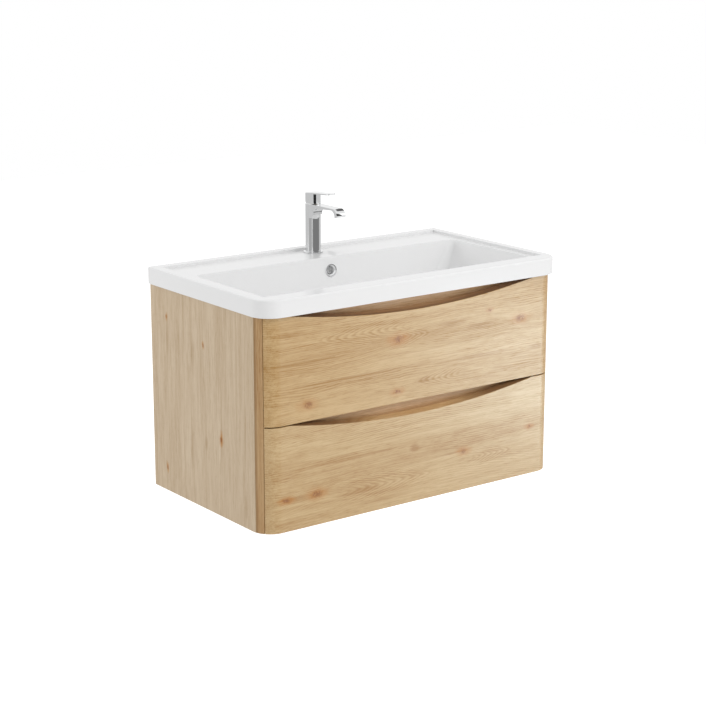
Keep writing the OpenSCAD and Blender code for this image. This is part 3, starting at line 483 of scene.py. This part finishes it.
knotGroup = buildKnotGroup()
streakGroup = buildStreakGroup()
archGroup = buildArchGroup()
oakGroup = buildOakGroup()
mottleGroup = buildMottleGroup()
print("node groups built")


# Oak

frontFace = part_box("upper_front")[0][1]
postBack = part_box("corner_post_left")[1][1]

oakMarks = {
    "streakTone": 0.72,
    "haloFloor": 0.45,
    "haloInTone": 1.1,
    "speckleScale": 210.0,
    "speckleEdge": (0.22, 0.62),
    "ior": 1.6,
    "bump": 0.25,
    "bumpDepth": 0.0004,
}

# A cut edge takes its colour behind the face and away from the round ends; painted shade darkens its ends and
# its face side, and a post at its rear
cutAndShadeZones = {
    "behindFace": (frontFace + 0.0004, frontFace + 0.0010),
    "roundEnds": (0.375, 0.365),
    "shadeTowardsEnds": (0.07, 0.26),
    "endShadeColour": (0.16, 0.062, 0.020),
    "shadeBesideFace": (frontFace + 0.015, frontFace + 0.004),
    "faceShadeColour": (0.10, 0.045, 0.015),
    "shadeAtPostRear": (postBack - 0.0095, postBack - 0.0035),
    "rearShadeColour": (0.19, 0.11, 0.045),
}


def paintCutEdgeAndShade(board, apart, tone, colour, cut):
    outward = board.math("ABSOLUTE", apart["X"])
    edge = board.mix(tone, opaque(cut["pale"]), opaque(cut["warm"]))
    # Painted shade: darker towards the ends of the pull, and along the face
    ends = board.ramp(outward, *cutAndShadeZones["shadeTowardsEnds"])
    edge = board.mix(board.times(ends, cut["endShadeShare"]), edge, opaque(cutAndShadeZones["endShadeColour"]))
    beside = board.ramp(apart["Y"], *cutAndShadeZones["shadeBesideFace"])
    edge = board.mix(board.times(beside, cut["faceShadeShare"]), edge, opaque(cutAndShadeZones["faceShadeColour"]))
    behind = board.ramp(apart["Y"], *cutAndShadeZones["behindFace"])
    inner = board.ramp(outward, *cutAndShadeZones["roundEnds"])
    return board.mix(board.times(behind, inner), colour, edge)


def makeOak(name, look, upright=False, knots=(), streaks=(), arches=(), cutEdgeAndShade=None, rearShade=0.0):
    # Upright grain runs along Z and has Y across it; the other kind runs along X and has Z across it
    material, board, sockets = newMaterial(name, look["pale"])
    place = board.put("ShaderNodeTexCoord").outputs["Object"]
    apart = board.axes(place)
    order = ("Z", "Y", "X") if upright else ("X", "Z", "Y")
    grain = {row: apart[axis] for row, axis in enumerate(order)}
    turned = board.put("ShaderNodeCombineXYZ", grain).outputs[0]
    flat = board.vector("MULTIPLY", turned, (1, 1, 0))    # marks go right through the board

    def marks(group, labels, rows):
        # One node for each row, with its place and the row's other values under the labels
        made = []
        for along, across, *rest in rows:
            values = {"Vector": flat, "Place": (along, across, 0), **dict(zip(labels, rest))}
            made.append(board.put("ShaderNodeGroup", values, node_tree=group).outputs)
        return made

    knotMarks = marks(knotGroup, ("Size", "Bend"), knots)
    streakMarks = marks(streakGroup, ("Length", "Width", "Share"), streaks)
    archMarks = marks(archGroup, ("Sense", "Slope", "Length", "Width", "Pitch"), arches)
    figureValues = {"Vector": turned, "Seed": look["seed"], "Heart": look["heart"], "Tilt": look["tilt"],
                    "Strength": look["strength"]}
    if knots:
        figureValues["Shift"] = board.gathered("ADD", [knot["Shift"] for knot in knotMarks])
    if arches:
        archLines = [board.times(arch["Line"], arch["Share"]) for arch in archMarks]
        figureValues["Arch"] = board.gathered("MAXIMUM", archLines)
        figureValues["Arch Share"] = board.gathered("MAXIMUM", [arch["Share"] for arch in archMarks])
    figure = board.put("ShaderNodeGroup", figureValues, node_tree=oakGroup).outputs
    tone = figure["Tone"]
    if streaks:
        mark = board.gathered("MAXIMUM", [streak["Mark"] for streak in streakMarks])
        tone = board.math("ADD", tone, board.times(mark, oakMarks["streakTone"]), clamp=True)
    colour = board.mix(tone, opaque(look["pale"]), opaque(look["warm"]))
    if knots:
        halo = board.gathered("MAXIMUM", [knot["Halo"] for knot in knotMarks])
        haloTone = board.plus(oakMarks["haloFloor"], board.times(tone, oakMarks["haloInTone"]))
        haloShare = board.times(board.times(halo, haloTone), look["haloShare"])
        colour = board.mix(haloShare, colour, opaque(look["halo"]))
        spot = board.gathered("MAXIMUM", [knot["Spot"] for knot in knotMarks])
        speckle = board.ramp(board.noise(place, oakMarks["speckleScale"]), *oakMarks["speckleEdge"])
        knotShare = board.times(board.times(spot, speckle), look["knotShare"])
        colour = board.mix(knotShare, colour, opaque(look["knot"]))
    # The cut edge's colour, with painted shade towards the pull's ends and beside the face
    if cutEdgeAndShade:
        colour = paintCutEdgeAndShade(board, apart, tone, colour, cutEdgeAndShade)
    # Painted shade: darker towards the rear of the post
    if rearShade:
        rear = board.ramp(apart["Y"], *cutAndShadeZones["shadeAtPostRear"])
        colour = board.mix(board.times(rear, rearShade), colour, opaque(cutAndShadeZones["rearShadeColour"]))
    board.join(colour, sockets["Base Color"])
    board.join(figure["Roughness"], sockets["Roughness"])
    sockets["IOR"].default_value = oakMarks["ior"]
    sockets["Specular IOR Level"].default_value = look["gloss"]
    addBump(board, sockets, figure["Height"], oakMarks["bump"], oakMarks["bumpDepth"])
    return material


oakLook = {
    "pale": (0.575, 0.387, 0.178),
    "warm": (0.362, 0.182, 0.035),
    "halo": (0.45, 0.190, 0.030),
    "knot": (0.27, 0.096, 0.014),
    "haloShare": 0.85,
    "knotShare": 1.0,
    "seed": (0.0, 0.0, 0.0),
    "heart": (-0.10, 0.55, 0.0),
    "tilt": 0.06,
    "strength": 1.0,
    "gloss": 0.5,
}

# Knots: along the grain, across it, size, and how far the grain bends
# Streaks: along the grain, across it, half length, half width, strength
# Arches: apex along and across, side they open to, slope, reach, half width and pitch of the lines
# Cut edge of a finger pull: colours, and how much painted shade darkens its ends and its face side
oakFinishes = {
    "upperOak": {
        "look": oakLook,
        "knots": [(-0.057, -0.031, 0.0145, 2.2), (0.327, -0.031, 0.0130, 1.5), (-0.321, -0.150, 0.0125, 1.4),
                  (0.227, 0.002, 0.0052, 1.0), (-0.061, -0.161, 0.0090, 1.6)],
        "streaks": [(-0.20, -0.103, 0.26, 0.0042, 0.70), (-0.24, -0.113, 0.24, 0.0036, 0.55),
                    (0.20, -0.108, 0.15, 0.0050, 0.60), (0.385, -0.112, 0.04, 0.0085, 0.55),
                    (-0.34, -0.047, 0.16, 0.0040, 0.60), (-0.37, 0.024, 0.09, 0.0070, 0.55),
                    (-0.40, -0.138, 0.06, 0.0040, 0.45), (0.105, -0.016, 0.05, 0.0100, 0.50),
                    (0.19, -0.032, 0.05, 0.0080, 0.40), (0.02, -0.142, 0.03, 0.0090, 0.45)],
        "arches": [(-0.305, -0.002, 1, 0.20, 0.34, 0.036, 0.0048),
                   (0.045, -0.027, -1, 0.28, 0.13, 0.028, 0.0048),
                   (-0.004, -0.144, 1, 0.26, 0.17, 0.020, 0.0050)],
        # Painted shade: this cut edge is coloured darker than the lower pull's, for the shade under the basin
        "cutEdgeAndShade": {"pale": (0.38, 0.210, 0.095), "warm": (0.25, 0.112, 0.040),
                    "endShadeShare": 0.45, "faceShadeShare": 0.55},
    },
    "lowerOak": {
        "look": dict(oakLook, pale=(0.604, 0.434, 0.222), warm=(0.388, 0.206, 0.062),
                     heart=(0.03, -0.52, 0.0), tilt=0.22, seed=(0.7, 0.0, 0.3)),
        "knots": [(0.148, -0.347, 0.0100, 1.5), (0.364, -0.319, 0.0070, 1.2), (-0.297, -0.370, 0.0130, 1.4),
                  (-0.384, -0.370, 0.0095, 1.2)],
        "streaks": [(-0.36, -0.372, 0.07, 0.0120, 0.45), (-0.17, -0.386, 0.08, 0.0070, 0.75),
                    (-0.10, -0.420, 0.14, 0.0060, 0.45), (-0.006, -0.309, 0.017, 0.0130, 0.80),
                    (0.12, -0.345, 0.06, 0.0030, 0.45), (0.26, -0.350, 0.10, 0.0040, 0.35),
                    (-0.22, -0.300, 0.20, 0.0050, 0.35), (-0.33, -0.262, 0.10, 0.0050, 0.30)],
        "arches": [(0.062, -0.381, -1, 0.200, 0.36, 0.040, 0.0055),
                   (0.312, -0.368, -1, 0.26, 0.17, 0.026, 0.0050)],
        "cutEdgeAndShade": {"pale": (0.75, 0.495, 0.240), "warm": (0.49, 0.243, 0.078),
                    "endShadeShare": 0.78, "faceShadeShare": 0.10},
    },
    # Paler and greyer than the fronts' oak: a painted sheen, which also makes up for its lower gloss
    "sideOakPaintedSheen": {
        "look": dict(oakLook, pale=(0.622, 0.500, 0.354), warm=(0.432, 0.307, 0.182), gloss=0.25,
                     heart=(0.3, 0.9, 0.0), seed=(0.2, 0.4, 0.1)),
        "upright": True,
        "knots": [(-0.255, -0.312, 0.0075, 1.8), (-0.039, -0.239, 0.0040, 1.2), (0.001, -0.073, 0.0045, 1.3),
                  (-0.386, -0.063, 0.0045, 1.0)],
        "streaks": [(-0.21, -0.415, 0.09, 0.005, 0.60), (-0.40, -0.415, 0.05, 0.008, 0.40),
                    (-0.25, -0.314, 0.16, 0.0035, 0.65), (-0.07, -0.190, 0.05, 0.010, 0.55),
                    (-0.31, -0.180, 0.09, 0.006, 0.65), (-0.278, -0.246, 0.022, 0.009, 0.55),
                    (-0.05, -0.075, 0.06, 0.007, 0.50), (-0.42, -0.19, 0.04, 0.012, 0.35)],
    },
    # Darker than the fronts' oak as painted shade, with painted shade towards its rear; the bottom panel has
    # it too
    "postOakPaintedShade": {
        "look": dict(oakLook, pale=(0.513, 0.334, 0.165), warm=(0.342, 0.168, 0.054), gloss=0.25,
                     seed=(0.5, 0.1, 0.7)),
        "upright": True,
        "rearShade": 0.42,
    },
    # Paler than the fronts' oak: a painted sheen on the right end
    "rightPostOakPaintedSheen": {
        "look": dict(oakLook, pale=(0.64, 0.50, 0.33), warm=(0.46, 0.28, 0.13), seed=(0.9, 0.2, 0.4)),
        "upright": True,
    },
    # Painted light: both rails are paler than the fronts' oak to light the finger-pull recesses, the middle
    # rail less so
    "railOakPaintedLight": {
        "look": dict(oakLook, pale=(0.84, 0.58, 0.345), warm=(0.53, 0.29, 0.125), gloss=0.2,
                     seed=(0.1, 0.3, 0.9)),
    },
    "middleRailOakPaintedLight": {
        "look": dict(oakLook, pale=(0.78, 0.505, 0.265), warm=(0.52, 0.270, 0.104), gloss=0.2,
                     seed=(0.4, 0.6, 0.9)),
    },
}

finishes = {}
for finishName, finishLook in oakFinishes.items():
    finishes[finishName] = makeOak(finishName, **finishLook)


# Plain finishes

plainFinishes = {
    "gelCoat": {"colour": (0.82, 0.82, 0.82), "roughness": 0.12, "scale": 6.0, "amount": 0.01,
                "spread": 0.02},
    "coverPlastic": {"colour": (0.78, 0.78, 0.76), "roughness": 0.42, "bump": 0.1},
    "chromePlate": {"colour": (0.76, 0.765, 0.77), "roughness": 0.05, "scale": 8.0, "amount": 0.02,
                    "spread": 0.02, "metallic": 1.0},
    "zincSteel": {"colour": (0.60, 0.61, 0.63), "roughness": 0.34, "scale": 30.0, "amount": 0.14,
                  "spread": 0.12, "metallic": 1.0, "bump": 0.08},
    "plainBrass": {"colour": (0.70, 0.50, 0.20), "roughness": 0.28, "scale": 26.0, "amount": 0.10,
                   "spread": 0.10, "metallic": 1.0},
    "blackRubber": {"colour": (0.03, 0.03, 0.03), "roughness": 0.7, "scale": 20.0, "amount": 0.2,
                    "spread": 0.1, "bump": 0.2},
    "greyPlastic": {"colour": (0.10, 0.10, 0.11), "roughness": 0.45, "scale": 20.0, "amount": 0.08,
                    "spread": 0.1, "bump": 0.1},
    "whiteBoard": {"colour": (0.76, 0.75, 0.72), "roughness": 0.38, "scale": 18.0, "amount": 0.02,
                   "spread": 0.08, "bump": 0.12},
}
plainBumpDepth = 0.0002


def makePlain(name, colour, roughness, scale=12.0, amount=0.04, spread=0.05, metallic=0.0, bump=0.0):
    material, board, sockets = newMaterial(name, colour)
    mottle = board.put("ShaderNodeGroup", {"Color": opaque(colour), "Scale": scale, "Amount": amount,
                                           "Roughness": roughness, "Spread": spread},
                       node_tree=mottleGroup).outputs
    board.join(mottle["Color"], sockets["Base Color"])
    board.join(mottle["Roughness"], sockets["Roughness"])
    sockets["Metallic"].default_value = metallic
    if bump:
        addBump(board, sockets, mottle["Height"], bump, plainBumpDepth)
    return material


for finishName, finishLook in plainFinishes.items():
    finishes[finishName] = makePlain(finishName, **finishLook)
print("materials built:", len(finishes))


# Finishes of the CAD's nodes: by material slot, or by the node's own name

slotFinish = {
    "oak": "sideOakPaintedSheen", "rail_oak": "railOakPaintedLight", "basin_white": "gelCoat", "cover_plastic": "coverPlastic",
    "chrome": "chromePlate", "zinc_steel": "zincSteel", "brass": "plainBrass", "rubber": "blackRubber",
    "cartridge_plastic": "greyPlastic", "drawer_board": "whiteBoard",
}
nodeFinish = {
    "upper_front": "upperOak", "lower_front": "lowerOak", "corner_post_left": "postOakPaintedShade",
    "corner_post_right": "rightPostOakPaintedSheen", "middle_rail": "middleRailOakPaintedLight", "bottom_panel": "postOakPaintedShade",
}

bodyOf = {node: body for body, nodes in frame["record"]["behaviour"]["bodies"].items() for node in nodes}
slotOf = {row["node"]: row["material_slot"] for row in frame["record"]["subparts"]}

for node, slotName in slotOf.items():
    finish = finishes[nodeFinish.get(node, slotFinish[slotName])]
    for slot in frame["nodes"][node].material_slots:
        slot.material = finish
print("finishes given to the nodes")


# Pieces with softened edges

soften = {
    "mergeDistance": 0.000002,
    "flatAngle": 0.3,        # degrees, below which faces become one
    "bevelAngle": 32,
    "weightedAngle": 30,     # the same, where each edge has its own width
    "smoothAngle": 32,
}


def startEdit(piece):
    bpy.ops.object.select_all(action="DESELECT")
    piece.select_set(True)
    bpy.context.view_layer.objects.active = piece
    bpy.ops.object.mode_set(mode="EDIT")
    bpy.ops.mesh.select_all(action="SELECT")


def weighEdges(mesh, widthAt):
    # Gives each sharp edge its share of the bevel's width
    faces = {}
    for face in mesh.polygons:
        for key in face.edge_keys:
            faces.setdefault(key, []).append(face.normal)
    weights = mesh.attributes.new("bevel_weight_edge", "FLOAT", "EDGE")
    limit = math.radians(soften["weightedAngle"])
    for edge in mesh.edges:
        normals = faces.get(tuple(sorted(edge.vertices)), [])
        sharp = len(normals) == 2 and normals[0].angle(normals[1], 0) > limit
        ends = [mesh.vertices[index].co for index in edge.vertices]
        weights.data[edge.index].value = widthAt(*ends) if sharp else 0.0


def softenedCopy(node, width, widthAt=None, segments=3, smoothAngle=soften["smoothAngle"]):
    # A merged copy of a node with its sharp edges rounded; widthAt gives an edge's own share of the width
    piece = bpy.data.objects.new(node + "Finished", frame["nodes"][node].data.copy())
    scene.collection.objects.link(piece)
    startEdit(piece)
    bpy.ops.mesh.customdata_custom_splitnormals_clear()
    bpy.ops.mesh.remove_doubles(threshold=soften["mergeDistance"])
    bpy.ops.mesh.dissolve_limited(angle_limit=math.radians(soften["flatAngle"]))
    bpy.ops.object.mode_set(mode="OBJECT")
    bevel = piece.modifiers.new("softEdge", "BEVEL")
    bevel.width = width
    bevel.segments = segments
    bevel.use_clamp_overlap = True
    if widthAt:
        weighEdges(piece.data, widthAt)
        bevel.limit_method = "WEIGHT"
    else:
        bevel.limit_method = "ANGLE"
        bevel.angle_limit = math.radians(soften["bevelAngle"])
    bpy.ops.object.modifier_apply(modifier=bevel.name)
    bpy.ops.object.shade_smooth_by_angle(angle=math.radians(smoothAngle))
    # The large flat faces stay flat in the light
    flatten = piece.modifiers.new("flatFaces", "WEIGHTED_NORMAL")
    flatten.keep_sharp = True
    bpy.ops.object.modifier_apply(modifier=flatten.name)
    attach(piece, bodyOf[node])
    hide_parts(node)
    return piece


edgeWidths = {"front": 0.0012, "board": 0.0007, "tap": 0.0007, "ring": 0.0006}

for node in ("upper_front", "lower_front"):
    softenedCopy(node, edgeWidths["front"])
for node in ("side_panel_left", "side_panel_right", "corner_post_left", "corner_post_right", "bottom_panel"):
    softenedCopy(node, edgeWidths["board"], segments=2)
for node in ("tap_body", "handle"):
    softenedCopy(node, edgeWidths["tap"])
for node in ("tap_base_ring", "overflow_ring", "waste_plug"):
    softenedCopy(node, edgeWidths["ring"])


# The basin, with a wide rounding at the bowl's mouth, small ones on the lip and a trace at its foot

basinLow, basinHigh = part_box("basin")
basinEdges = {
    "width": 0.006,
    "segments": 5,
    "smoothAngle": 40,
    "lipShare": 0.44,
    "footShare": 0.16,
    "underside": basinHigh[2] - 0.046,    # nothing below it is rounded
    "foot": basinHigh[2] - 0.042,
    "deck": basinHigh[2] - 0.006,
    "lipTop": basinHigh[2] - 0.0015,
    "levelSlack": 0.001,
    "deckSlack": 0.0012,
    "mouthSide": basinHigh[0] - 0.06,
    "mouthFront": basinLow[1] + 0.065,
    "mouthBack": basinHigh[1] - 0.12,
    "lipSide": basinHigh[0] - 0.03,
    "lipFront": basinLow[1] + 0.055,
    "lipBack": basinHigh[1] - 0.028,
    "footSide": basinHigh[0] - 0.02,
}


def inMouth(end):
    return abs(end.x) < basinEdges["mouthSide"] and basinEdges["mouthFront"] < end.y < basinEdges["mouthBack"]


def onLip(end):
    return (abs(end.x) > basinEdges["lipSide"] or end.y > basinEdges["lipBack"]
            or end.y < basinEdges["lipFront"])


def basinShare(first, second):
    height = (first.z + second.z) / 2
    level = abs(first.z - second.z) < basinEdges["levelSlack"]
    if max(first.z, second.z) < basinEdges["underside"]:
        return 0.0
    if level and abs(height - basinEdges["deck"]) < basinEdges["deckSlack"]:
        if inMouth(first) and inMouth(second):
            return 1.0
        return basinEdges["lipShare"] if onLip(first) and onLip(second) else 0.0
    if height > basinEdges["lipTop"]:
        return basinEdges["lipShare"]
    outside = abs(first.x) > basinEdges["footSide"] or first.y < basinEdges["lipFront"]
    if abs(height - basinEdges["foot"]) < basinEdges["levelSlack"] and outside:
        return basinEdges["footShare"]
    return 0.0


softenedCopy("basin", basinEdges["width"], basinShare, basinEdges["segments"], basinEdges["smoothAngle"])
print("softened pieces made")


# The white inside of the overflow channel, behind the ring

liner = {
    "radius": 0.0095,
    "sides": 48,
    "depth": 0.008,
    "start": 0.0095,
    "slope": 5,
    "place": (0.0, -0.14006, 0.071),
    "mouthNormal": 0.9,      # the end that faces up more than this is left open
    "smoothAngle": 40,
}

bpy.ops.object.select_all(action="DESELECT")
linerMiddle = -(liner["start"] + liner["depth"] / 2)
bpy.ops.mesh.primitive_cylinder_add(vertices=liner["sides"], radius=liner["radius"], depth=liner["depth"],
                                    end_fill_type="NGON", location=(0, 0, linerMiddle))
overflowLiner = bpy.context.object
overflowLiner.name = "overflowLiner"
bpy.ops.object.transform_apply(location=True, rotation=True, scale=True)
startEdit(overflowLiner)
bpy.ops.mesh.select_all(action="DESELECT")
bpy.ops.object.mode_set(mode="OBJECT")
for face in overflowLiner.data.polygons:
    face.select = face.normal.z > liner["mouthNormal"]
bpy.ops.object.mode_set(mode="EDIT")
bpy.ops.mesh.delete(type="FACE")
bpy.ops.mesh.select_all(action="SELECT")
bpy.ops.mesh.remove_doubles(threshold=soften["mergeDistance"])
bpy.ops.mesh.normals_make_consistent(inside=True)
bpy.ops.object.mode_set(mode="OBJECT")
overflowLiner.rotation_euler = (math.radians(90 - liner["slope"]), 0, 0)
overflowLiner.location = liner["place"]
bpy.ops.object.transform_apply(location=True, rotation=True, scale=True)
bpy.ops.object.shade_smooth_by_angle(angle=math.radians(liner["smoothAngle"]))
overflowLiner.data.materials.append(finishes["gelCoat"])
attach(overflowLiner, bodyOf["basin"])
print("overflow liner made")
